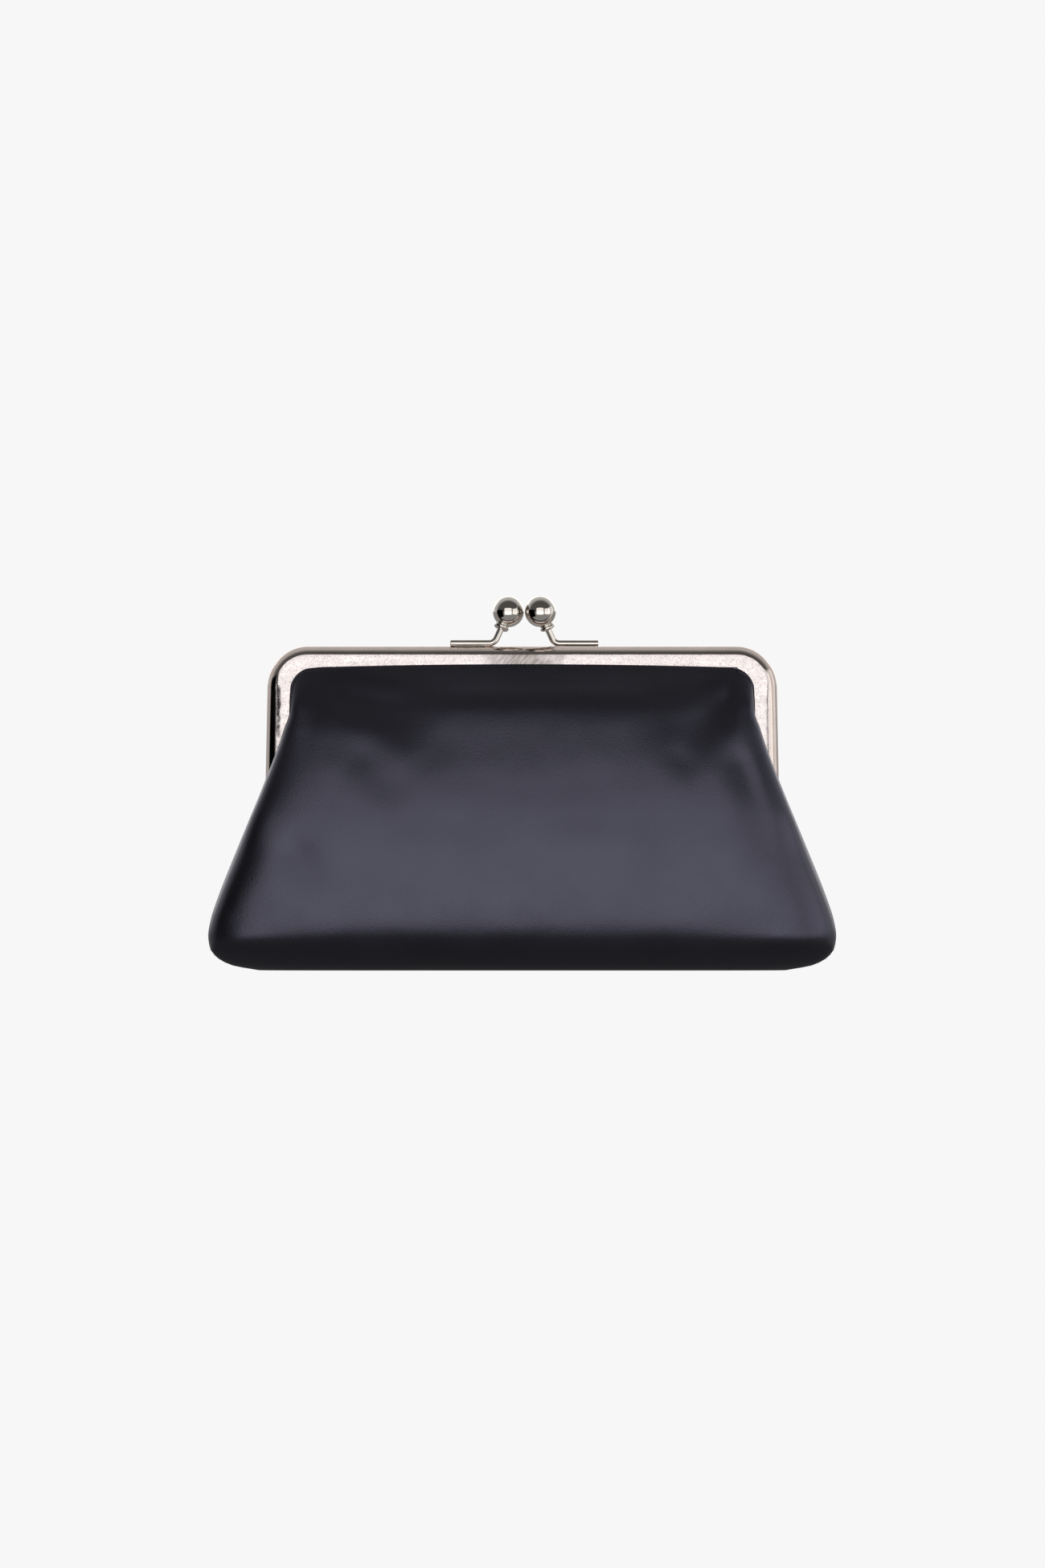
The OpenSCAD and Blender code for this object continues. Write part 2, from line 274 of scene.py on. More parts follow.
# Outline of the frame, seen from the front
flare = math.radians(purseFrame["legFlare"])
innerZ = purseFrame["top"] - purseFrame["railBand"] - purseFrame["innerCornerRadius"]
cornerZ = purseFrame["top"] - purseFrame["cornerRadius"]
mouthZ = purseFrame["top"] - purseFrame["railBand"]


def legX(z):
    return purseFrame["halfWidth"] + (innerZ - z) * math.tan(flare)


def innerX(z):
    return legX(z) - purseFrame["legBand"] / math.cos(flare)


cornerX = legX(cornerZ) - purseFrame["cornerRadius"] / math.cos(flare)
innerCornerX = innerX(innerZ) - purseFrame["innerCornerRadius"] / math.cos(flare)


def arcX(z, radius):
    return math.sqrt(max(0, radius**2 - max(0, z - innerZ) ** 2))


def lipX(z):
    return innerX(z) if z < innerZ else innerCornerX + arcX(z, purseFrame["innerCornerRadius"])


def tuckX(z):
    reach = purseFrame["innerCornerRadius"] + leather["tuck"]
    return innerX(z) + leather["tuck"] if z < innerZ else innerCornerX + arcX(z, reach)


def railInnerZ(x):
    return mouthZ + purseFrame["railArch"] * (1 - (x / innerCornerX) ** 2)


def insetOf(x, z):  # distance in from the frame's outer edge
    x = abs(x)
    if x > cornerX and z > cornerZ:
        return purseFrame["cornerRadius"] - math.hypot(x - cornerX, z - cornerZ)
    return min(purseFrame["top"] - z, (legX(z) - x) * math.cos(flare))


# Materials

def linearColour(hexCode):
    channels = [int(hexCode[k:k + 2], 16) / 255 for k in (1, 3, 5)]
    return [c / 12.92 if c < 0.04045 else ((c + 0.055) / 1.055) ** 2.4 for c in channels] + [1]


def addNode(tree, kind, settings=None, values=None, links=None, stops=None):
    node = tree.nodes.new(kind)
    for name, value in (settings or {}).items():
        setattr(node, name, value)
    for socket, value in (values or {}).items():
        node.inputs[socket].default_value = value
    for socket, source in (links or {}).items():
        tree.links.new(source, node.inputs[socket])
    if stops:  # places and colours of a colour ramp
        elements = node.color_ramp.elements
        while len(elements) < len(stops):
            elements.new(0.5)
        for element, (place, colour) in zip(elements, stops):
            element.position = place
            element.color = linearColour(colour)
    return node


def newMaterial(name):
    material = bpy.data.materials.new(name)
    material.use_nodes = True
    tree = material.node_tree
    tree.nodes.clear()
    shader = addNode(tree, "ShaderNodeBsdfPrincipled")
    addNode(tree, "ShaderNodeOutputMaterial", links={"Surface": shader.outputs["BSDF"]})
    return material, tree, shader


def surfaced(tree, shader, tint, rough, normal):
    for socket, source in (("Base Color", tint), ("Roughness", rough), ("Normal", normal)):
        tree.links.new(source, shader.inputs[socket])


# Bright nickel plate over a drawn and tumbled base: a warm grey mirror on the balls and rods, with faint
# ripples from polishing, and a softer one on the rim, which is only tumbled
def polishedNickel(name, darkTint, lightTint, smoothest, roughest):
    material, tree, shader = newMaterial(name)
    place = addNode(tree, "ShaderNodeTexCoord").outputs["Object"]
    cloud = addNode(
        tree, "ShaderNodeTexNoise", values={"Scale": 160, "Detail": 4, "Roughness": 0.6},
        links={"Vector": place},
    ).outputs["Fac"]  # patches about 6 mm across
    ripple = addNode(
        tree, "ShaderNodeTexNoise", values={"Scale": 900, "Detail": 2, "Roughness": 0.5},
        links={"Vector": place},
    ).outputs["Fac"]  # about 1 mm across
    tint = addNode(
        tree, "ShaderNodeValToRGB", links={"Fac": cloud}, stops=[(0.3, darkTint), (0.7, lightTint)]
    ).outputs["Color"]
    rough = addNode(
        tree, "ShaderNodeMapRange",
        values={"From Min": 0.3, "From Max": 0.7, "To Min": smoothest, "To Max": roughest},
        links={"Value": cloud},
    ).outputs["Result"]
    bump = addNode(
        tree, "ShaderNodeBump", values={"Strength": 0.06, "Distance": 0.00002}, links={"Height": ripple}
    ).outputs["Normal"]
    surfaced(tree, shader, tint, rough, bump)
    shader.inputs["Metallic"].default_value = 1
    return material


# The same plate on the band, over a pressing with fine pits and soft waves. Round the middle of the rail its
# colour is painted darker, painted shade where the band's reflection is dimmer, with slanting marks.
def pittedNickel():
    material, tree, shader = newMaterial("pitted_nickel_plate")
    place = addNode(tree, "ShaderNodeTexCoord").outputs["Object"]
    pits = addNode(
        tree, "ShaderNodeTexNoise", values={"Scale": 3200, "Detail": 2, "Roughness": 0.65},
        links={"Vector": place},
    ).outputs["Fac"]  # 0.3 mm across
    waves = addNode(
        tree, "ShaderNodeTexNoise", values={"Scale": 150, "Detail": 2, "Roughness": 0.5},
        links={"Vector": place},
    ).outputs["Fac"]  # about 7 mm long
    slanted = addNode(
        tree, "ShaderNodeMapping", {"vector_type": "TEXTURE"},
        {"Rotation": (0, math.radians(40), 0), "Scale": (0.0005, 1, 0.005)}, {"Vector": place},
    ).outputs["Vector"]  # for marks 0.5 mm wide and 5 mm long
    marks = addNode(
        tree, "ShaderNodeTexNoise", values={"Scale": 1, "Detail": 2, "Roughness": 0.6},
        links={"Vector": slanted},
    ).outputs["Fac"]
    across = addNode(tree, "ShaderNodeSeparateXYZ", links={"Vector": place}).outputs["X"]
    side = addNode(tree, "ShaderNodeMath", {"operation": "ABSOLUTE"}, links={0: across}).outputs[0]
    edge = addNode(
        tree, "ShaderNodeMath", {"operation": "MULTIPLY_ADD"}, {1: 0.024, 2: -0.012}, {0: waves}
    ).outputs[0]  # wanders by a few millimetres
    fromMiddle = addNode(tree, "ShaderNodeMath", {"operation": "ADD"}, links={0: side, 1: edge}).outputs[0]
    # painted shade: 1 round the middle of the rail, falling to 0 a little way out
    middleShade = addNode(
        tree, "ShaderNodeMapRange", values={"From Min": 0.006, "From Max": 0.016, "To Min": 1, "To Max": 0},
        links={"Value": fromMiddle},
    ).outputs["Result"]
    plate = addNode(
        tree, "ShaderNodeValToRGB", links={"Fac": pits},
        stops=[(0.34, "#9a918f"), (0.42, "#d2c9c7"), (0.62, "#e0d7d5")],
    ).outputs["Color"]
    # painted shade: a darker tone, streaked with the slanting marks, for the middle of the rail
    shadedMarks = addNode(
        tree, "ShaderNodeValToRGB", links={"Fac": marks}, stops=[(0.36, "#7c7470"), (0.64, "#aca4a0")]
    ).outputs["Color"]
    tint = addNode(
        tree, "ShaderNodeMix", {"data_type": "RGBA"}, links={0: middleShade, 6: plate, 7: shadedMarks}
    ).outputs[2]
    rough = addNode(
        tree, "ShaderNodeMapRange",
        values={"From Min": 0.35, "From Max": 0.65, "To Min": 0.1, "To Max": 0.16},
        links={"Value": waves},
    ).outputs["Result"]
    wavy = addNode(
        tree, "ShaderNodeBump", values={"Strength": 0.5, "Distance": 0.0004}, links={"Height": waves}
    ).outputs["Normal"]
    bump = addNode(
        tree, "ShaderNodeBump", values={"Strength": 0.25, "Distance": 0.00004},
        links={"Height": pits, "Normal": wavy},
    ).outputs["Normal"]
    surfaced(tree, shader, tint, rough, bump)
    shader.inputs["Metallic"].default_value = 1
    return material


# Chrome-tanned calf, drum-dyed black and lightly glazed: small pebbles and a soft sheen
def blackLeather():
    material, tree, shader = newMaterial("black_glazed_calf")
    place = addNode(tree, "ShaderNodeTexCoord").outputs["Object"]
    warp = addNode(
        tree, "ShaderNodeTexNoise", values={"Scale": 700, "Detail": 2, "Roughness": 0.5},
        links={"Vector": place},
    ).outputs["Color"]
    warped = addNode(
        tree, "ShaderNodeMix", {"data_type": "VECTOR"}, {"Factor": 0.0007}, {"A": place, "B": warp}
    ).outputs["Result"]
    pebbles = addNode(
        tree, "ShaderNodeTexVoronoi", {"feature": "SMOOTH_F1"}, {"Scale": 2600, "Smoothness": 0.5},
        {"Vector": warped},
    ).outputs["Distance"]  # grain cells about 0.4 mm across
    creases = addNode(
        tree, "ShaderNodeTexNoise", values={"Scale": 420, "Detail": 5, "Roughness": 0.7},
        links={"Vector": place},
    ).outputs["Fac"]
    patches = addNode(
        tree, "ShaderNodeTexNoise", values={"Scale": 45, "Detail": 3, "Roughness": 0.55},
        links={"Vector": place},
    ).outputs["Fac"]  # where the glaze took more or less, 20 mm across
    tint = addNode(
        tree, "ShaderNodeValToRGB", links={"Fac": patches}, stops=[(0.35, "#131415"), (0.7, "#17181a")]
    ).outputs["Color"]
    rough = addNode(
        tree, "ShaderNodeMapRange",
        values={"From Min": 0.35, "From Max": 0.65, "To Min": 0.34, "To Max": 0.39},
        links={"Value": patches},
    ).outputs["Result"]
    creased = addNode(
        tree, "ShaderNodeBump", values={"Strength": 0.06, "Distance": 0.0003}, links={"Height": creases}
    ).outputs["Normal"]
    grain = addNode(
        tree, "ShaderNodeBump", {"invert": True}, {"Strength": 0.28, "Distance": 0.0001},
        {"Height": pebbles, "Normal": creased},
    ).outputs["Normal"]  # inverted, so that the pebbles' middles stand up
    surfaced(tree, shader, tint, rough, grain)
    shader.inputs["IOR"].default_value = 1.8
    shader.inputs["Specular Tint"].default_value = linearColour("#e0ddff")
    return material


# Plain-woven cotton, dyed charcoal: matt threads with a little fuzz
def liningCotton():
    material, tree, shader = newMaterial("charcoal_cotton_weave")
    place = addNode(tree, "ShaderNodeTexCoord").outputs["UV"]
    threads = []
    for turn in (0, 90):
        turned = addNode(
            tree, "ShaderNodeMapping", values={"Rotation": (0, 0, math.radians(turn))},
            links={"Vector": place},
        ).outputs["Vector"]
        waves = addNode(
            tree, "ShaderNodeTexWave", {"wave_type": "BANDS"},
            {"Scale": 0.55, "Distortion": 0.6, "Detail": 2, "Detail Scale": 2}, {"Vector": turned},
        )  # UV is in millimetres, so the threads are 0.6 mm apart, twice the real spacing so that they show
        threads.append(waves.outputs["Fac"])
    weave = addNode(
        tree, "ShaderNodeMath", {"operation": "ADD"}, links={0: threads[0], 1: threads[1]}
    ).outputs[0]
    raised = addNode(
        tree, "ShaderNodeMapRange", values={"From Min": 0.2, "From Max": 1.8}, links={"Value": weave}
    ).outputs["Result"]
    fuzz = addNode(
        tree, "ShaderNodeTexNoise", values={"Scale": 3, "Detail": 4, "Roughness": 0.7},
        links={"Vector": place},
    ).outputs["Fac"]
    tint = addNode(
        tree, "ShaderNodeValToRGB", links={"Fac": raised}, stops=[(0.1, "#2b2a2d"), (0.9, "#4c4a4e")]
    ).outputs["Color"]
    rough = addNode(
        tree, "ShaderNodeMapRange",
        values={"From Min": 0.3, "From Max": 0.7, "To Min": 0.85, "To Max": 0.95},
        links={"Value": fuzz},
    ).outputs["Result"]
    bump = addNode(
        tree, "ShaderNodeBump", values={"Strength": 0.5, "Distance": 0.0001}, links={"Height": weave}
    ).outputs["Normal"]
    surfaced(tree, shader, tint, rough, bump)
    shader.inputs["Sheen Weight"].default_value = 0.25
    return material


# Twisted kraft paper: brown, matt, with the twist showing as slanting ridges
def kraftPaper():
    material, tree, shader = newMaterial("twisted_kraft_paper")
    place = addNode(tree, "ShaderNodeTexCoord").outputs["Object"]
    slanted = addNode(
        tree, "ShaderNodeMapping", values={"Rotation": (0, math.radians(35), 0)}, links={"Vector": place}
    ).outputs["Vector"]
    twist = addNode(
        tree, "ShaderNodeTexWave", {"wave_type": "BANDS"},
        {"Scale": 260, "Distortion": 1.5, "Detail": 3, "Detail Scale": 2}, {"Vector": slanted},
    ).outputs["Fac"]  # ridges about 1.2 mm apart
    tint = addNode(
        tree, "ShaderNodeValToRGB", links={"Fac": twist}, stops=[(0.1, "#8d7352"), (0.9, "#b79c74")]
    ).outputs["Color"]
    rough = addNode(
        tree, "ShaderNodeMapRange", values={"To Min": 0.95, "To Max": 0.8}, links={"Value": twist}
    ).outputs["Result"]
    bump = addNode(
        tree, "ShaderNodeBump", values={"Strength": 0.6, "Distance": 0.0001}, links={"Height": twist}
    ).outputs["Normal"]
    surfaced(tree, shader, tint, rough, bump)
    return material


nickelBright = polishedNickel("polished_nickel_plate", "#cfc8c0", "#dcd6cf", 0.05, 0.1)
nickelRim = polishedNickel("tumbled_nickel_plate", "#d2c5bd", "#decfc8", 0.1, 0.15)
nickelPitted = pittedNickel()
calf, cotton, paper = blackLeather(), liningCotton(), kraftPaper()
print("materials made")


# Frame: a section drawn round the channel's wall, led up one leg, round the corners and down the other leg
sweepSteps = {"leg": 9, "corner": 22, "rail": 34}


def alongFrame(name, section, startZ):
    left = Vector((-legX(startZ), 0, startZ))
    inward = Vector((math.cos(flare), 0, -math.sin(flare)))
    piece = ringOf(name, [left + inward * p - Vector((0, d, 0)) for p, d in section])
    cornerStart = Vector((-cornerX, 0, cornerZ)) - inward * purseFrame["cornerRadius"]
    legStep = (cornerStart - left) / sweepSteps["leg"]
    railStep = Vector((2 * cornerX / sweepSteps["rail"], 0, 0))
    cornerTurn = math.pi / 2 - flare
    editAll(piece)
    for _ in range(sweepSteps["leg"]):
        pull(*legStep)
    wheel(sweepSteps["corner"], cornerTurn, (-cornerX, 0, cornerZ), (0, 1, 0))
    for _ in range(sweepSteps["rail"]):
        pull(*railStep)
    wheel(sweepSteps["corner"], cornerTurn, (cornerX, 0, cornerZ), (0, 1, 0))
    for _ in range(sweepSteps["leg"]):
        pull(legStep.x, 0, -legStep.z)
    leaveEdit()
    return piece


def cutBelow(piece, z):
    editAll(piece)
    bpy.ops.mesh.bisect(plane_co=(0, 0, z), plane_no=(0, 0, 1), use_fill=True, clear_inner=True)
    leaveEdit()


def channelSection():  # a roof, a rim that slopes to the band on a wide curve, and the band
    f = purseFrame
    rounding, metal = f["edgeRounding"], f["metal"]
    drop = f["faceDepth"] - f["roofDepth"]
    chord = math.hypot(f["rimWidth"], drop)
    reach = math.sqrt(f["rimRadius"] ** 2 - chord**2 / 4)
    middle = Vector((f["rimWidth"], f["faceDepth"] + f["roofDepth"])) / 2
    centre = middle + Vector((drop, -f["rimWidth"])) * (reach / chord)

    def curve(radius, low, high, steps):  # from one depth to another on the rim's curve
        angles = [math.asin((d - centre.y) / radius) for d in (low, high)]
        turns = [mix(angles[0], angles[1], k / steps) for k in range(steps + 1)]
        return [(centre.x - radius * math.cos(a), centre.y + radius * math.sin(a)) for a in turns]

    inner, back, wall = f["legBand"], f["halfGap"] + metal, f["faceDepth"] - metal
    roof = [(rounding, f["halfGap"]), (0, f["halfGap"] + rounding), (0, 1.2)]
    rim = curve(f["rimRadius"], f["roofDepth"], f["faceDepth"] - 0.22, 12)
    band = [(f["rimWidth"] + 0.04, f["faceDepth"] - 0.05), (f["rimWidth"] + 0.3, f["faceDepth"])]
    band += [(p, f["faceDepth"]) for p in (3.5, 4.2, 5, inner - 0.2)]
    lip = [(inner, f["faceDepth"] - 0.2), (inner, wall)]
    hollow = [(metal, back)] + curve(f["rimRadius"] - metal, 1.4, wall, 8)
    return [(inner, f["halfGap"])] + roof + rim + band + lip + hollow[::-1] + [(inner, back)]


def onInnerEdge(x, z):  # moves a point of the sweep's inner edge to the band's own edge
    side = -1 if x < 0 else 1
    x = abs(x)
    if z <= cornerZ:
        return Vector((side * innerX(z), 0, z))
    if x <= cornerX:
        return Vector((side * x, 0, railInnerZ(min(x, innerCornerX))))
    out = Vector((x - cornerX, z - cornerZ)).normalized()
    fromInner = Vector((cornerX - innerCornerX, cornerZ - innerZ))
    b = out.dot(fromInner)
    reach = -b + math.sqrt(b * b - fromInner.length_squared + purseFrame["innerCornerRadius"] ** 2)
    hit = Vector((cornerX, cornerZ)) + out * reach
    if hit.y > railInnerZ(innerCornerX) and hit.x < innerCornerX:
        hit.y = railInnerZ(hit.x)
    return Vector((side * hit.x, 0, hit.y))


def roundedLegs(piece):  # the legs' faces fall back a little towards the rim
    f = purseFrame
    for vertex in piece.data.vertices:
        p, d = insetOf(vertex.co.x, vertex.co.z), -vertex.co.y
        onRim = d > f["roofDepth"] and p < f["rimWidth"] * (d / f["faceDepth"]) ** 1.6
        outside = d > f["faceDepth"] - 0.3 or p < 0.1 or onRim
        if not outside or p > f["legRound"] or d < f["roofDepth"]:
            continue
        flat = (f["legRound"] - p) / (f["legRound"] - f["rimWidth"])
        fall = f["legFall"] * (flat * flat if p > f["rimWidth"] else p / f["rimWidth"])
        vertex.co.y += fall * smooth((cornerZ + 6 - vertex.co.z) / 10)


def halfChannel(name):
    piece = alongFrame(name, channelSection(), hinge["height"] - 3)
    roundedLegs(piece)
    band = purseFrame["legBand"]
    for vertex in piece.data.vertices:
        inset = insetOf(vertex.co.x, vertex.co.z)
        if inset < band - 0.5:
            continue
        shift = onInnerEdge(vertex.co.x, vertex.co.z)
        lip = band - inset  # the band's bevelled lip keeps its distance from the edge
        middle = Vector((cornerX if vertex.co.x > 0 else -cornerX, 0, cornerZ))
        outward = Vector((vertex.co.x, 0, vertex.co.z)) - middle
        if vertex.co.z <= cornerZ:
            outward = Vector((1 if vertex.co.x > 0 else -1, 0, 0))
        elif abs(vertex.co.x) <= cornerX:
            outward = Vector((0, 0, 1))
        shift += outward.normalized() * lip
        vertex.co.x, vertex.co.z = shift.x, shift.z
    cutBelow(piece, purseFrame["legEnd"])
    facesOut(piece)
    return piece


# Hinge lug: a plate round the rivet, with a neck that runs up into the leg's outer wall
def lugPlate(name, stepped):
    h, f = hinge, purseFrame
    outerX = legX(f["legEnd"]) - h["lugInset"]
    top = math.degrees(math.acos(-f["halfGap"] / h["lugRadius"]))
    arc = [math.radians(mix(top, -180, k / 30)) for k in range(31)]
    outline = [(h["lugRadius"] * math.cos(a), h["height"] + h["lugRadius"] * math.sin(a)) for a in arc]
    outline += [
        (-h["lugRadius"], h["height"] + 1.5), (-h["neckDepth"], f["legEnd"]),
        (-h["neckDepth"], h["neckTop"]), (-f["halfGap"], h["neckTop"]),
    ]
    plate = ringOf(name, [(outerX - h["lugThickness"], y, z) for y, z in outline])
    editAll(plate)
    bpy.ops.mesh.edge_face_add()
    pull(h["lugThickness"], 0, 0)
    leaveEdit()
    facesOut(plate)
    deselectAll()
    bpy.ops.mesh.primitive_cylinder_add(
        vertices=32, radius=h["rivetRadius"] * 1.04, depth=4, location=(outerX, 0, h["height"]),
        rotation=(0, math.pi / 2, 0),
    )
    drill = bpy.context.active_object
    addModifier(plate, "BOOLEAN", operation="DIFFERENCE", solver="EXACT", object=drill)
    bpy.data.objects.remove(drill)
    if stepped:  # pressed inwards at the neck, to pass behind the other half's lug
        for z in (f["legEnd"] + 0.2, h["neckTop"] - 0.5):
            editAll(plate)
            bpy.ops.mesh.bisect(plane_co=(0, 0, z), plane_no=(0, 0, 1))
            leaveEdit()
        for vertex in plate.data.vertices:
            vertex.co.x -= h["step"] * (1 - smooth((vertex.co.z - f["legEnd"]) / 1.2))
    return plate


def frameHalf(name, stepped):
    channel = halfChannel(name)
    right = lugPlate("lug_right", stepped)
    left = copyOf(right, "lug_left", mirrorSide)
    piece = joined(name, [channel, right, left])
    addModifier(
        piece, "BEVEL", width=purseFrame["edgeRounding"], segments=2, limit_method="ANGLE",
        angle_limit=math.radians(58),
    )
    return piece


def dressFrame(piece, body, node):
    finished(piece, [nickelRim, nickelPitted], 38)
    for face in piece.data.polygons:
        inset = insetOf(face.center.x / mm, face.center.z / mm)
        onFace = abs(face.center.y) / mm > purseFrame["faceDepth"] - 0.3
        face.material_index = 1 if inset > purseFrame["rimWidth"] and onFace else 0
    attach(piece, body)
    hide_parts(node)


frontFrame = frameHalf("front_frame_half", False)
rearFrame = copyOf(frameHalf("rear_frame_draft", True), "rear_frame_half", mirrorDepth)
bpy.data.objects.remove(bpy.data.objects["rear_frame_draft"])
dressFrame(frontFrame, "front_half", "front_frame")
dressFrame(rearFrame, "rear_half", "rear_frame")
print("frame halves finished")


def around(centre, radius, count):  # points on a circle
    angles = [2 * math.pi * k / count for k in range(count)]
    return [(centre[0] + radius * math.cos(a), centre[1] + radius * math.sin(a)) for a in angles]


def lineOf(name, points):  # an open outline: a ring without the edge that closes it
    line = ringOf(name, points)
    last = len(points) - 1
    for vertex in line.data.vertices:
        vertex.select = False
    for edge in line.data.edges:
        edge.select = set(edge.vertices) == {0, last}
    edit(line, "EDGE")
    bpy.ops.mesh.delete(type="EDGE")
    leaveEdit()
    return line


def lathed(name, profile, steps):  # profile is (radius, height) from one end of the axis to the other
    piece = lineOf(name, [(r, 0, h) for r, h in profile])
    editAll(piece)
    wheel(steps, 2 * math.pi, (0, 0, 0), (0, 0, 1))
    leaveEdit()
    facesOut(piece)
    return piece


# Hinge rivets: a domed head outside, a peened one inside
def hingeRivet(name):
    h = hinge
    outer = legX(purseFrame["legEnd"]) - h["lugInset"] + h["headGap"]
    inner = outer - h["headGap"] - h["step"] - h["lugThickness"]
    quarter = [math.radians(10 * k) for k in range(10)]
    peen = [(h["peenRadius"] * math.sin(a), inner - 0.15 - 0.55 * math.cos(a)) for a in quarter]
    shank = [(h["peenRadius"], inner), (h["rivetRadius"], inner), (h["rivetRadius"], outer)]
    head = [(h["headRadius"] - 0.1, outer), (h["headRadius"], outer + 0.1)]
    dome = [(h["headRadius"] * math.cos(a), outer + 0.3 + 0.72 * math.sin(a)) for a in quarter]
    rivet = lathed(name, peen + shank + head + dome, 40)
    rivet.data.transform(Matrix.Translation((0, 0, h["height"])) @ Matrix.Rotation(math.pi / 2, 4, "Y"))
    return rivet


rightRivet = hingeRivet("hinge_rivet_right")
leftRivet = copyOf(rightRivet, "hinge_rivet_left", mirrorSide)
for rivet, node in ((rightRivet, "right_hinge_rivet"), (leftRivet, "left_hinge_rivet")):
    finished(rivet, [nickelBright])
    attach(rivet, "rear_half")
    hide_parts(node)
print("rivets turned")


# Clasp: a rod bent up from its foot on the rail, with a collar and a ball at its end
turn = math.radians(clasp["turn"])
sideRise = Vector((clasp["footDepth"] + clasp["crossDepth"], clasp["ballHeight"] - clasp["footHeight"]))
tilt = math.atan2(*sideRise)
bendX = clasp["middle"] - clasp["pitch"] / 2 - sideRise.length / math.tan(turn)
bendLength = clasp["bendRadius"] * math.tan(turn / 2)
rodLength = sideRise.length / math.sin(turn) - bendLength
rodPlane = (
    Matrix.Translation((bendX, -clasp["footDepth"], clasp["footHeight"]))
    @ Matrix.Rotation(math.pi / 2 - tilt, 4, "X")
)
alongRod = (
    Matrix.Translation((-bendLength, clasp["bendRadius"], 0)) @ Matrix.Rotation(turn - math.pi / 2, 4, "Z")
    @ Matrix.Translation((clasp["bendRadius"], 0, 0)) @ Matrix.Rotation(-math.pi / 2, 4, "X")
)
atBall = rodPlane @ alongRod @ Matrix.Translation((0, 0, rodLength))
toRear = (
    Matrix.Translation((clasp["middle"], 0, 0)) @ Matrix.Rotation(math.pi, 4, "Z")
    @ Matrix.Translation((-clasp["middle"], 0, 0))
)


def claspRod(name):
    section = around((0, 0), clasp["rodRadius"], 32)
    rod = ringOf(name, [(-clasp["footLength"], y, z) for y, z in section])
    editAll(rod)
    foot = clasp["footLength"] - bendLength
    for _ in range(6):
        pull(foot / 6, 0, 0)
    wheel(14, turn, (-bendLength, clasp["bendRadius"], 0), (0, 0, 1))
    reach = (rodLength - clasp["rodInBall"]) / 5
    for _ in range(5):
        pull(reach * math.cos(turn), reach * math.sin(turn), 0)
    bpy.ops.mesh.select_all(action="SELECT")
    bpy.ops.mesh.fill_holes(sides=0)
    leaveEdit()
    facesOut(rod)
    addModifier(rod, "BEVEL", width=0.18, segments=3, limit_method="ANGLE", angle_limit=math.radians(50))
    rod.data.transform(rodPlane)
    return rod


def brazeFillet(name):  # the ragged seam of filler metal under the foot
    length, width, height = clasp["footLength"] - 2.4, clasp["brazeWidth"], clasp["brazeHeight"]
    middle = Vector((bendX - clasp["footLength"] + 0.2 + length / 2, -clasp["footDepth"], frameTop + 0.1))
    deselectAll()
    bpy.ops.mesh.primitive_cube_add(size=1, location=middle)
    fillet = bpy.context.active_object
    fillet.name = name
    fillet.scale = (length, width, height)
    bpy.ops.object.transform_apply(location=True, rotation=False, scale=True)
    editAll(fillet)
    bpy.ops.mesh.subdivide(number_cuts=7)
    leaveEdit()
    addModifier(fillet, "SUBSURF", levels=2, render_levels=2)
    for vertex in fillet.data.vertices:
        rel = vertex.co - middle
        ends = math.sqrt(max(0, 1 - (2 * rel.x / length) ** 6))
        ragged = 1 + 0.12 * noise.noise(Vector((vertex.co.x * 0.9, vertex.co.y, 3)))
        upper = smooth((rel.z + height / 2) / height)
        rel.y *= ends * ragged * mix(1, 0.75, upper)
        rel.z *= ends
        vertex.co = middle + rel
    return fillet


def ringProfile(centre, radius, step):  # the outer half of a ring's section
    angles = [math.radians(step * k) for k in range(1, 180 // step)]
    return [(centre[0] + radius * math.sin(a), centre[1] - radius * math.cos(a)) for a in angles]


def claspCollar(name):  # two turned rings over the neck, the lower one the bolder
    c = collarShape
    ring = ringProfile(c["ring"], c["ringRadius"], 12)
    bead = ringProfile(c["bead"], c["beadRadius"], 30)
    collar = lathed(name, c["foot"] + ring + bead + c["top"], 48)
    collar.data.transform(atBall)
    return collar


def claspBall(name):
    r = clasp["ballRadius"]
    start = math.asin(clasp["rodRadius"] / r)
    arc = [mix(start, math.pi, k / 40) for k in range(41)]
    ball = lathed(name, [(r * math.sin(a), -r * math.cos(a)) for a in arc], 80)
    ball.data.transform(atBall)
    return ball


def dressClasp(pieces, half):
    for piece, part in zip(pieces, ("stem", "collar", "ball")):
        finished(piece, [nickelBright], 40)
        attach(piece, half + "_half")
        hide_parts(half + "_clasp_" + part)


frontClasp = [
    joined("front_clasp_rod", [claspRod("front_clasp_rod"), brazeFillet("front_braze")]),
    claspCollar("front_clasp_collar_rings"),
    claspBall("front_clasp_knob"),
]
rearClasp = [copyOf(piece, piece.name.replace("front", "rear"), toRear) for piece in frontClasp]
dressClasp(frontClasp, "front")
dressClasp(rearClasp, "rear")
print("clasps finished")


# Paper cords, pressed into the channels over the leather and the lining
def cordInChannel(name):
    c = paperCord
    cord = alongFrame(name, around((c["inset"], c["depth"]), c["radius"], 16), c["endHeight"] - 2)
    cutBelow(cord, c["endHeight"])
    facesOut(cord)
    return cord


frontCord = cordInChannel("front_channel_cord")
rearCord = copyOf(frontCord, "rear_channel_cord", mirrorDepth)
for piece, half in ((frontCord, "front"), (rearCord, "rear")):
    finished(piece, [paper])
    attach(piece, half + "_half")
    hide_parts(half + "_paper_cord")
print("paper cords laid")


# Pouch: each panel is one surface from the seam under the base, over the belly and into the channel
def opened(z):  # 0 where the panels are sewn together, 1 where each has its own way into its channel
    return smooth((z - leather["seamEnd"]) / (leather["opensAt"] - leather["seamEnd"]))


def drawnIn(z):  # 0 where the leather laps in front of the leg, 1 where it turns in beside the corner
    return smooth((z - 77) / 8)


def sunk(z):  # 1 where the rows lie wholly at the channel's depth
    return smooth((z - 84) / 7)


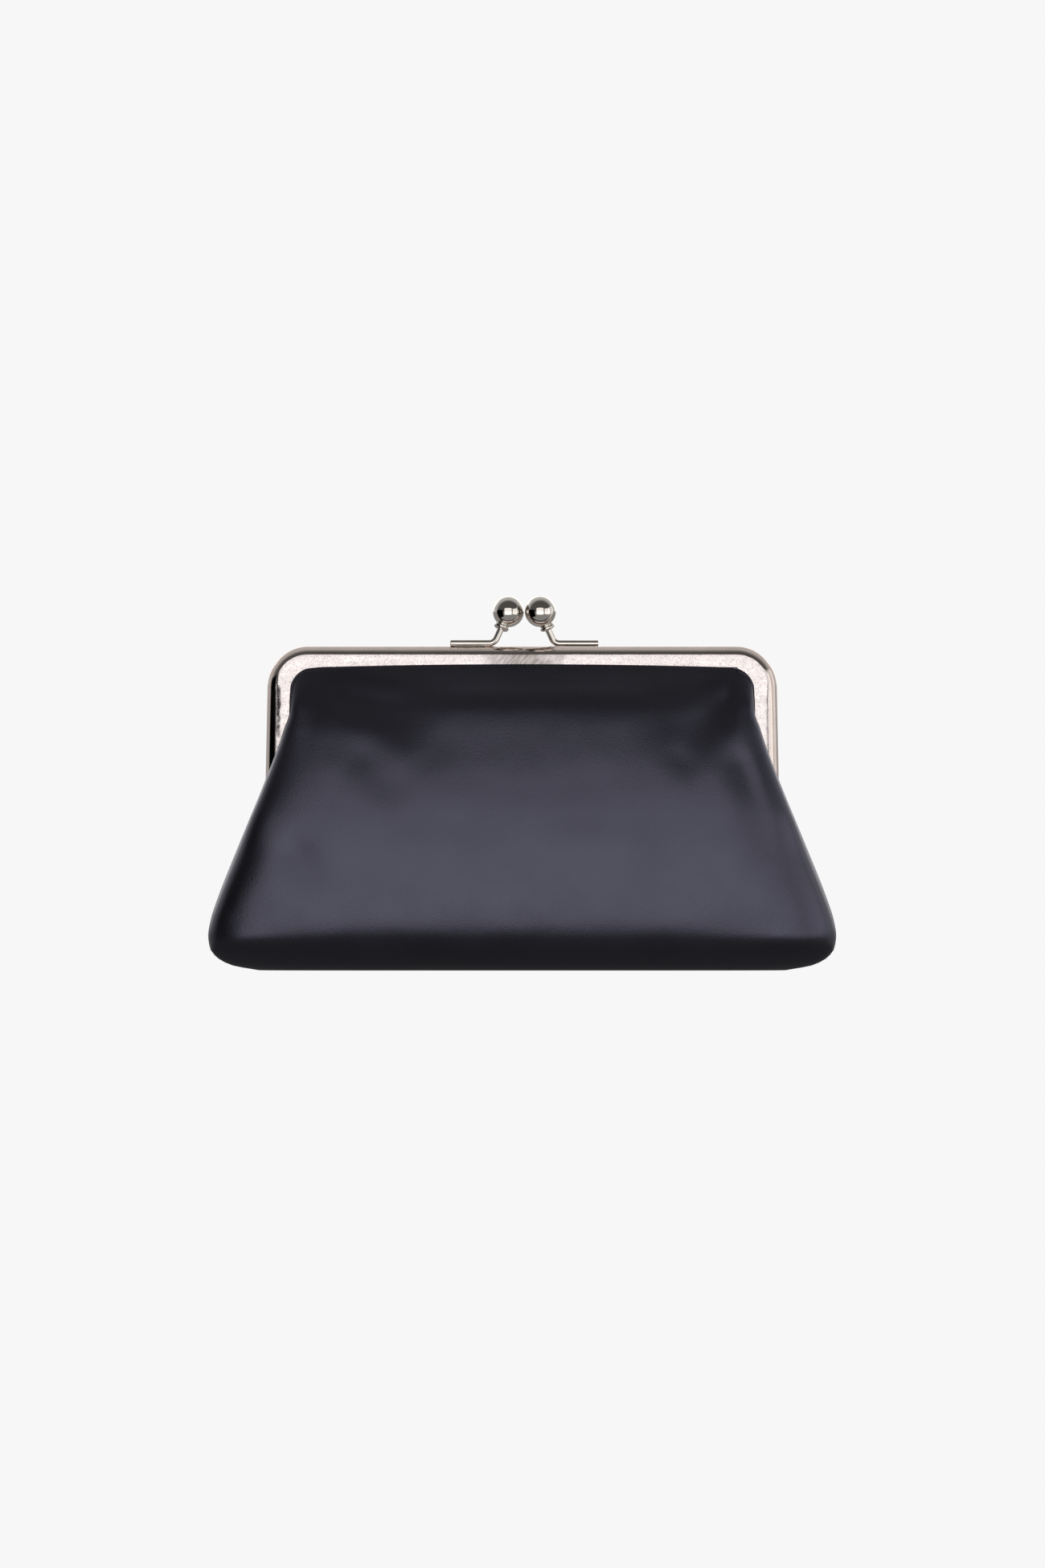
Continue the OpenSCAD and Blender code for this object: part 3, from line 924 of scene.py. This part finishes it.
def mixLines(a, b, w):
    return [(mix(p[0], q[0], w), mix(p[1], q[1], w)) for p, q in zip(a, b)]


# An edge is a list of (x, d), six for the leather and three for the lining, from the belly's side to the end
# of the row
def seamEdge(z):
    half, step = leather["thickness"] / 2, leather["seamStep"]
    return [(along(edgeKeys, z) - half - step * k, leather["seamGap"] + half) for k in range(6)]


def lapEdge(z):
    x = along(edgeKeys, z) - leather["thickness"] / 2
    lip = lipX(z)
    channel, lap = leather["depthInChannel"], leather["lapDepth"]
    return [
        (x, leather["rollDepth"]), (x - 1.1, lap), (min(lip - 0.1, x - 1.4), lap),
        (lip - 0.9, (lap + channel) / 2), (lip - 0.6, channel), (tuckX(z), channel),
    ]


def turnEdge(z, depths):
    lip = lipX(z)
    channel = leather["depthInChannel"]
    turned = [(lip - gap, depth) for gap, depth in zip((0.85, 0.75, 0.7, 0.68), depths)]
    return turned + [(lip - 0.6, channel), (tuckX(z), channel)]


def leatherEdge(z):
    beside = mixLines(seamEdge(z), lapEdge(z), opened(z))
    corner = mixLines(beside, turnEdge(z, leather["turnDepths"]), drawnIn(z))
    return mixLines(corner, turnEdge(z, [leather["depthInChannel"]] * 4), sunk(z))


def liningEdge(z):
    x = along(edgeKeys, z) - lining["sideGap"]
    lip, channel, w = lipX(z), lining["depthInChannel"], opened(z)
    seam = [(x + 0.3 * k, leather["seamGap"] + lining["thickness"] / 2) for k in range(3)]
    tucked = [(lip - 2.4, mix(4.2, channel, sunk(z))), (lip - 1.3, channel), (tuckX(z), channel)]
    return [(mix(p[0], q[0], w), mix(p[1], q[1], w * w)) for p, q in zip(seam, tucked)]


def rowOf(edge, depth):  # half a row, from the middle to the right edge: a squared-off ellipse, then the edge
    power = 2 / leather["fullness"]
    x, d = edge[0]
    half = []
    for k in range(leather["strips"] + 1):
        a = math.radians(80) * (k / leather["strips"]) ** (1 / power)
        half.append((x * math.sin(a) ** power, d + (depth - d) * math.cos(a) ** power))
    return half + list(edge)


def roundedLine(points, steps):  # a smooth line through the points
    line = []
    for i in range(len(points) - 1):
        p0, p1, p2 = Vector(points[max(i - 1, 0)]), Vector(points[i]), Vector(points[i + 1])
        p3 = Vector(points[min(i + 2, len(points) - 1)])
        gaps = [max((b - a).length, 0.001) ** 0.5 for a, b in ((p0, p1), (p1, p2), (p2, p3))]
        m1 = (p2 - p1) - (p2 - p0) * gaps[1] / (gaps[0] + gaps[1]) + (p1 - p0) * gaps[1] / gaps[0]
        m2 = (p2 - p1) - (p3 - p1) * gaps[1] / (gaps[1] + gaps[2]) + (p3 - p2) * gaps[1] / gaps[2]
        for k in range(steps):
            t = k / steps
            line.append(
                p1 * (1 + 2 * t) * (1 - t) ** 2 + m1 * t * (1 - t) ** 2
                + p2 * t * t * (3 - 2 * t) + m2 * t * t * (t - 1)
            )
    return line + [Vector(points[-1])]


def arched(x, z):  # the rows near the rail rise with its arch
    return z + purseFrame["railArch"] * smooth((z - 90) / 7) * max(0, 1 - (x / innerCornerX) ** 2)


# Folds pressed into the front and the rear, each from (x, z) to (x, z), deepest where it starts. One with a
# depth below zero stands out. One with a step is a shoulder: the leather above it lies further back by the
# step.
frontFolds = [
    {"from": (73, 95.6), "to": (52, 69), "depth": 3.2, "width": 6.5},
    {"from": (50, 76), "to": (64, 80), "step": 1.3, "width": 4.5},
    {"from": (-58, 94.4), "to": (-30, 72), "depth": 2, "width": 8.5},
    {"from": (-82, 84), "to": (-40, 78), "step": 2.1, "width": 6},
    {"from": (70, 66), "to": (78, 40), "depth": 1, "width": 5.5},
    {"from": (-50, 68), "to": (-34, 52), "depth": 0.9, "width": 7},
    {"from": (-72, 38), "to": (-62, 20), "depth": 0.8, "width": 6},
    {"from": (-98, 7), "to": (-66, 7), "depth": -2, "width": 5},
    {"from": (98, 7), "to": (52, 6), "depth": -2, "width": 5},
]
rearFolds = [
    {"from": (75, 90), "to": (42, 66), "depth": 1.8, "width": 5.5},
    {"from": (-76, 91), "to": (-52, 66), "depth": 1.9, "width": 5},
    {"from": (-73, 62), "to": (-68, 36), "depth": 0.8, "width": 5},
    {"from": (60, 58), "to": (54, 40), "depth": 0.5, "width": 7},
]


def pressed(folds, x, z, seed):  # how far the belly moves forward at (x, z)
    point = Vector((x, z))
    move = 0
    for fold in folds:
        start, end = Vector(fold["from"]), Vector(fold["to"])
        line = end - start
        run = (point - start).dot(line) / line.length_squared
        t = min(1, max(0, run))
        if "step" in fold:
            above = line.normalized().cross(point - start) / fold["width"]
            beyond = abs(run - t) * line.length / (2 * fold["width"])
            move -= fold["step"] * (0.5 + 0.5 * math.tanh(above)) * math.exp(-beyond * beyond)
        else:
            away = (point - start - line * t).length / fold["width"]
            move -= fold["depth"] * (1 - 0.75 * smooth(t)) * math.exp(-away * away)
    move += 0.25 * noise.noise(Vector((x / 21, z / 17, seed)))
    move += 0.08 * noise.noise(Vector((x / 8, z / 8, seed)))
    sides = smooth((along(edgeKeys, z) - abs(x) - 1.5) / 9)
    return move * sides * smooth((96 - z) / 12) * smooth(z / 14)


# Rows of a panel, each a left and a right half with points (x, d, z) from the middle outwards
def panelGrid(edgeOf, depthOf, thickness, floor, folds, seed):
    topRow = mouthZ + leather["tuck"]
    low = [0, 0.3, 0.8, 1.5, 2.5, 3.7, 5, 6.5, 8.2]  # closer together where the base turns up
    heights = low + [10 + leather["rowStep"] * k for k in range(80)]
    heights = [z for z in heights if z < topRow - 0.6] + [topRow]
    last = leather["strips"] * leather["smoothing"]
    first = roundedLine(rowOf(edgeOf(0), depthOf(0)), leather["smoothing"])
    seam = leather["seamGap"] + thickness / 2
    rows = []
    for k in range(leather["baseRows"]):  # from the seam under the base out to the first row
        s = k / leather["baseRows"]
        lift = 0.5 * (1 - s) ** 3
        half = [(q.x, mix(seam, q.y, s), floor + thickness / 2 + lift) for q in first]
        rows.append((half, half))
    for z in heights:
        up = (floor + thickness / 2) * (1 - smooth(z / 14))
        line = roundedLine(rowOf(edgeOf(z), depthOf(z)), leather["smoothing"])
        sides = []
        for side in (-1, 1):
            half = []
            for k, q in enumerate(line):
                move = pressed(folds, side * q.x, z, seed) if k < last else 0
                half.append((q.x, q.y + move, arched(q.x, z) + up))
            sides.append(half)
        rows.append(sides)
    return rows


def panelMesh(name, rows):
    half = len(rows[0][0]) - 1
    across = 2 * half + 1
    deselectAll()
    bpy.ops.mesh.primitive_grid_add(x_subdivisions=across - 1, y_subdivisions=len(rows) - 1, size=2)
    panel = bpy.context.active_object
    panel.name = name
    for index, vertex in enumerate(panel.data.vertices):
        row, column = divmod(index, across)
        x, d, z = rows[row][0 if column < half else 1][abs(column - half)]
        vertex.co = (math.copysign(x, column - half), -d, z)
    layFlat(panel, across, len(rows))
    return panel


def layFlat(panel, across, tall):  # the UV map is the panel laid flat, in millimetres
    points = [vertex.co.copy() for vertex in panel.data.vertices]
    middle = across // 2
    flat = [None] * len(points)
    climb = 0
    for row in range(tall):
        start = row * across
        if row:
            climb += (points[start + middle] - points[start + middle - across]).length
        flat[start + middle] = (0, climb)
        for side in (-1, 1):
            run = 0
            for k in range(1, middle + 1):
                here = start + middle + side * k
                run += (points[here] - points[here - side]).length
                flat[here] = (side * run, climb)
    uv = panel.data.uv_layers.active.data
    for loop in panel.data.loops:
        uv[loop.index].uv = flat[loop.vertex_index]


def leatherPanel(name, folds, seed):
    half = leather["thickness"] / 2
    rows = panelGrid(
        leatherEdge, lambda z: along(bellyKeys, z) - half, leather["thickness"], 0, folds, seed
    )
    panel = panelMesh(name, rows)
    addModifier(panel, "SOLIDIFY", thickness=leather["thickness"], offset=0, use_rim=True)
    addModifier(panel, "BEVEL", width=0.2, segments=2, limit_method="ANGLE", angle_limit=math.radians(60))
    return panel


def liningPanel(name, folds, seed):
    inside = leather["thickness"] + lining["layerGap"] + lining["thickness"] / 2
    floor = leather["thickness"] + 0.1
    rows = panelGrid(
        liningEdge, lambda z: max(lining["depthInChannel"], along(bellyKeys, z) - inside),
        lining["thickness"], floor, folds, seed,
    )
    panel = panelMesh(name, rows)
    addModifier(panel, "SOLIDIFY", thickness=lining["thickness"], offset=0, use_rim=True)
    return panel


def dressPanel(panel, half, kind, material):
    if half == "rear":
        panel.data.transform(mirrorDepth)
        panel.data.flip_normals()
    finished(panel, [material], 50)
    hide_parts(*[f"{half}_{kind}_{part}" for part in ("upper", "fold", "lower")])
    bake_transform(panel)


for half, folds, seed in (("front", frontFolds, 2.5), ("rear", rearFolds, 7.5)):
    dressPanel(leatherPanel(half + "_leather_panel", folds, seed), half, "leather", calf)
    dressPanel(liningPanel(half + "_lining_panel", folds, seed), half, "lining", cotton)
print("pouch finished")


# Stage: a pale floor under an even sky, softboxes before and behind, and a long lens straight in front
studio = {
    "backdrop": "#f7f7f7",
    "lensLength": 120,
    "distance": 1.683,
    "viewHeight": 0.0598,
    "viewSide": 0.0001,
    "floorReach": 6,
    "frontGlow": 0.1,
    "rearGlow": 0.6,
    "floorGlow": 0.3,
}


def stageMaterial(name, colour, glow):
    material, _, shader = newMaterial(name)
    shader.inputs["Base Color"].default_value = (0, 0, 0, 1)
    shader.inputs["Roughness"].default_value = 1
    shader.inputs["Specular IOR Level"].default_value = 0
    shader.inputs["Emission Color"].default_value = colour
    shader.inputs["Emission Strength"].default_value = glow
    return material


def makeFloor():  # seen by the camera alone, so that it stays even and throws nothing up at the purse
    deselectAll()
    bpy.ops.mesh.primitive_plane_add(size=2 * studio["floorReach"], location=(0, 0, 0))
    floor = bpy.context.active_object
    floor.name = "pale_floor"
    floor.data.materials.append(stageMaterial("lit_paper_sweep", linearColour(studio["backdrop"]), 1))
    floor.visible_diffuse = False
    floor.visible_glossy = False
    floor.visible_shadow = False


def aimed(thing, place, target):
    thing.location = place
    thing.rotation_euler = (Vector(target) - Vector(place)).to_track_quat("-Z", "Y").to_euler()


def softbox(name, place, width, height, glow):
    light = bpy.data.lights.new(name, "AREA")
    light.shape = "RECTANGLE"
    light.size, light.size_y = width, height
    light.energy = glow * math.pi * width * height
    lamp = bpy.data.objects.new(name, light)
    aimed(lamp, place, (0, 0, 0.06))
    lamp.visible_camera = False
    bpy.context.collection.objects.link(lamp)


def blackFlag(name, place, target, width, height, glow=0):  # unseen: it only darkens what the purse reflects
    deselectAll()
    bpy.ops.mesh.primitive_plane_add(size=1)
    flag = bpy.context.active_object
    flag.name = name
    flag.scale = (width, height, 1)
    aimed(flag, place, target)
    flag.data.materials.append(stageMaterial("black_flock", (1, 1, 1, 1), glow))
    flag.visible_camera = False
    flag.visible_shadow = False


def makeSky():  # dim in front and brighter behind the purse, and to the camera the floor's own colour
    world = bpy.data.worlds.new("studio")
    bpy.context.scene.world = world
    world.use_nodes = True
    tree = world.node_tree
    tree.nodes.clear()
    way = addNode(tree, "ShaderNodeTexCoord").outputs["Generated"]
    parts = addNode(tree, "ShaderNodeSeparateXYZ", links={"Vector": way}).outputs
    glows = {"To Min": studio["frontGlow"], "To Max": studio["rearGlow"]}
    behind = addNode(
        tree, "ShaderNodeMapRange", values={"From Min": -0.15, "From Max": 0.25, **glows},
        links={"Value": parts["Y"]},
    ).outputs["Result"]
    above = addNode(
        tree, "ShaderNodeMapRange", values={"From Min": -0.06, "From Max": 0.06}, links={"Value": parts["Z"]}
    ).outputs["Result"]
    strength = addNode(
        tree, "ShaderNodeMix", {"data_type": "FLOAT"}, {"A": studio["floorGlow"]},
        {"Factor": above, "B": behind},
    ).outputs["Result"]
    white = {"Color": (1, 1, 1, 1)}
    pale = {"Color": linearColour(studio["backdrop"]), "Strength": 1}
    glow = addNode(tree, "ShaderNodeBackground", values=white, links={"Strength": strength}).outputs[0]
    backdrop = addNode(tree, "ShaderNodeBackground", values=pale).outputs[0]
    seen = addNode(tree, "ShaderNodeLightPath").outputs["Is Camera Ray"]
    sky = addNode(tree, "ShaderNodeMixShader", links={0: seen, 1: glow, 2: backdrop}).outputs[0]
    addNode(tree, "ShaderNodeOutputWorld", links={"Surface": sky})


def makeCamera():
    data = bpy.data.cameras.new("camera")
    data.lens = studio["lensLength"]
    data.sensor_width = 36
    data.clip_end = 50
    camera = bpy.data.objects.new("camera", data)
    camera.location = (studio["viewSide"], -studio["distance"], studio["viewHeight"])
    camera.rotation_euler = (math.pi / 2, 0, 0)
    bpy.context.collection.objects.link(camera)
    bpy.context.scene.camera = camera


bpy.context.scene.view_settings.view_transform = "Standard"
makeFloor()
makeSky()
softbox("front_softbox", (-0.08, -2, 0.13), 2, 1.9, 1.19)
softbox("low_fill", (0, -1.95, -0.3), 2, 0.7, 0.34)
softbox("right_wing", (1.7, -1.3, 0.12), 1.6, 1.5, 1.1)
softbox("right_softbox", (1.9, -0.1, 0.3), 1.5, 1.4, 0.6)
softbox("rear_softbox", (0, 2, 0.95), 4.4, 1.6, 0.8)
blackFlag("left_flag", (-0.495, -0.2, -0.02), (0, 0, 0.06), 0.55, 0.5)
blackFlag("leg_flag", (-0.118, -0.12, 0.096), (-0.118, 0, 0.096), 0.03, 0.036)
# painted shadow: a dim dark sheet under the base stands in for the purse's shadow on the floor, in what the
# leather reflects
blackFlag("base_shade", (0, 0, -0.002), (0, 0, 1), 0.24, 0.09, 0.1)
makeCamera()
print("stage set")
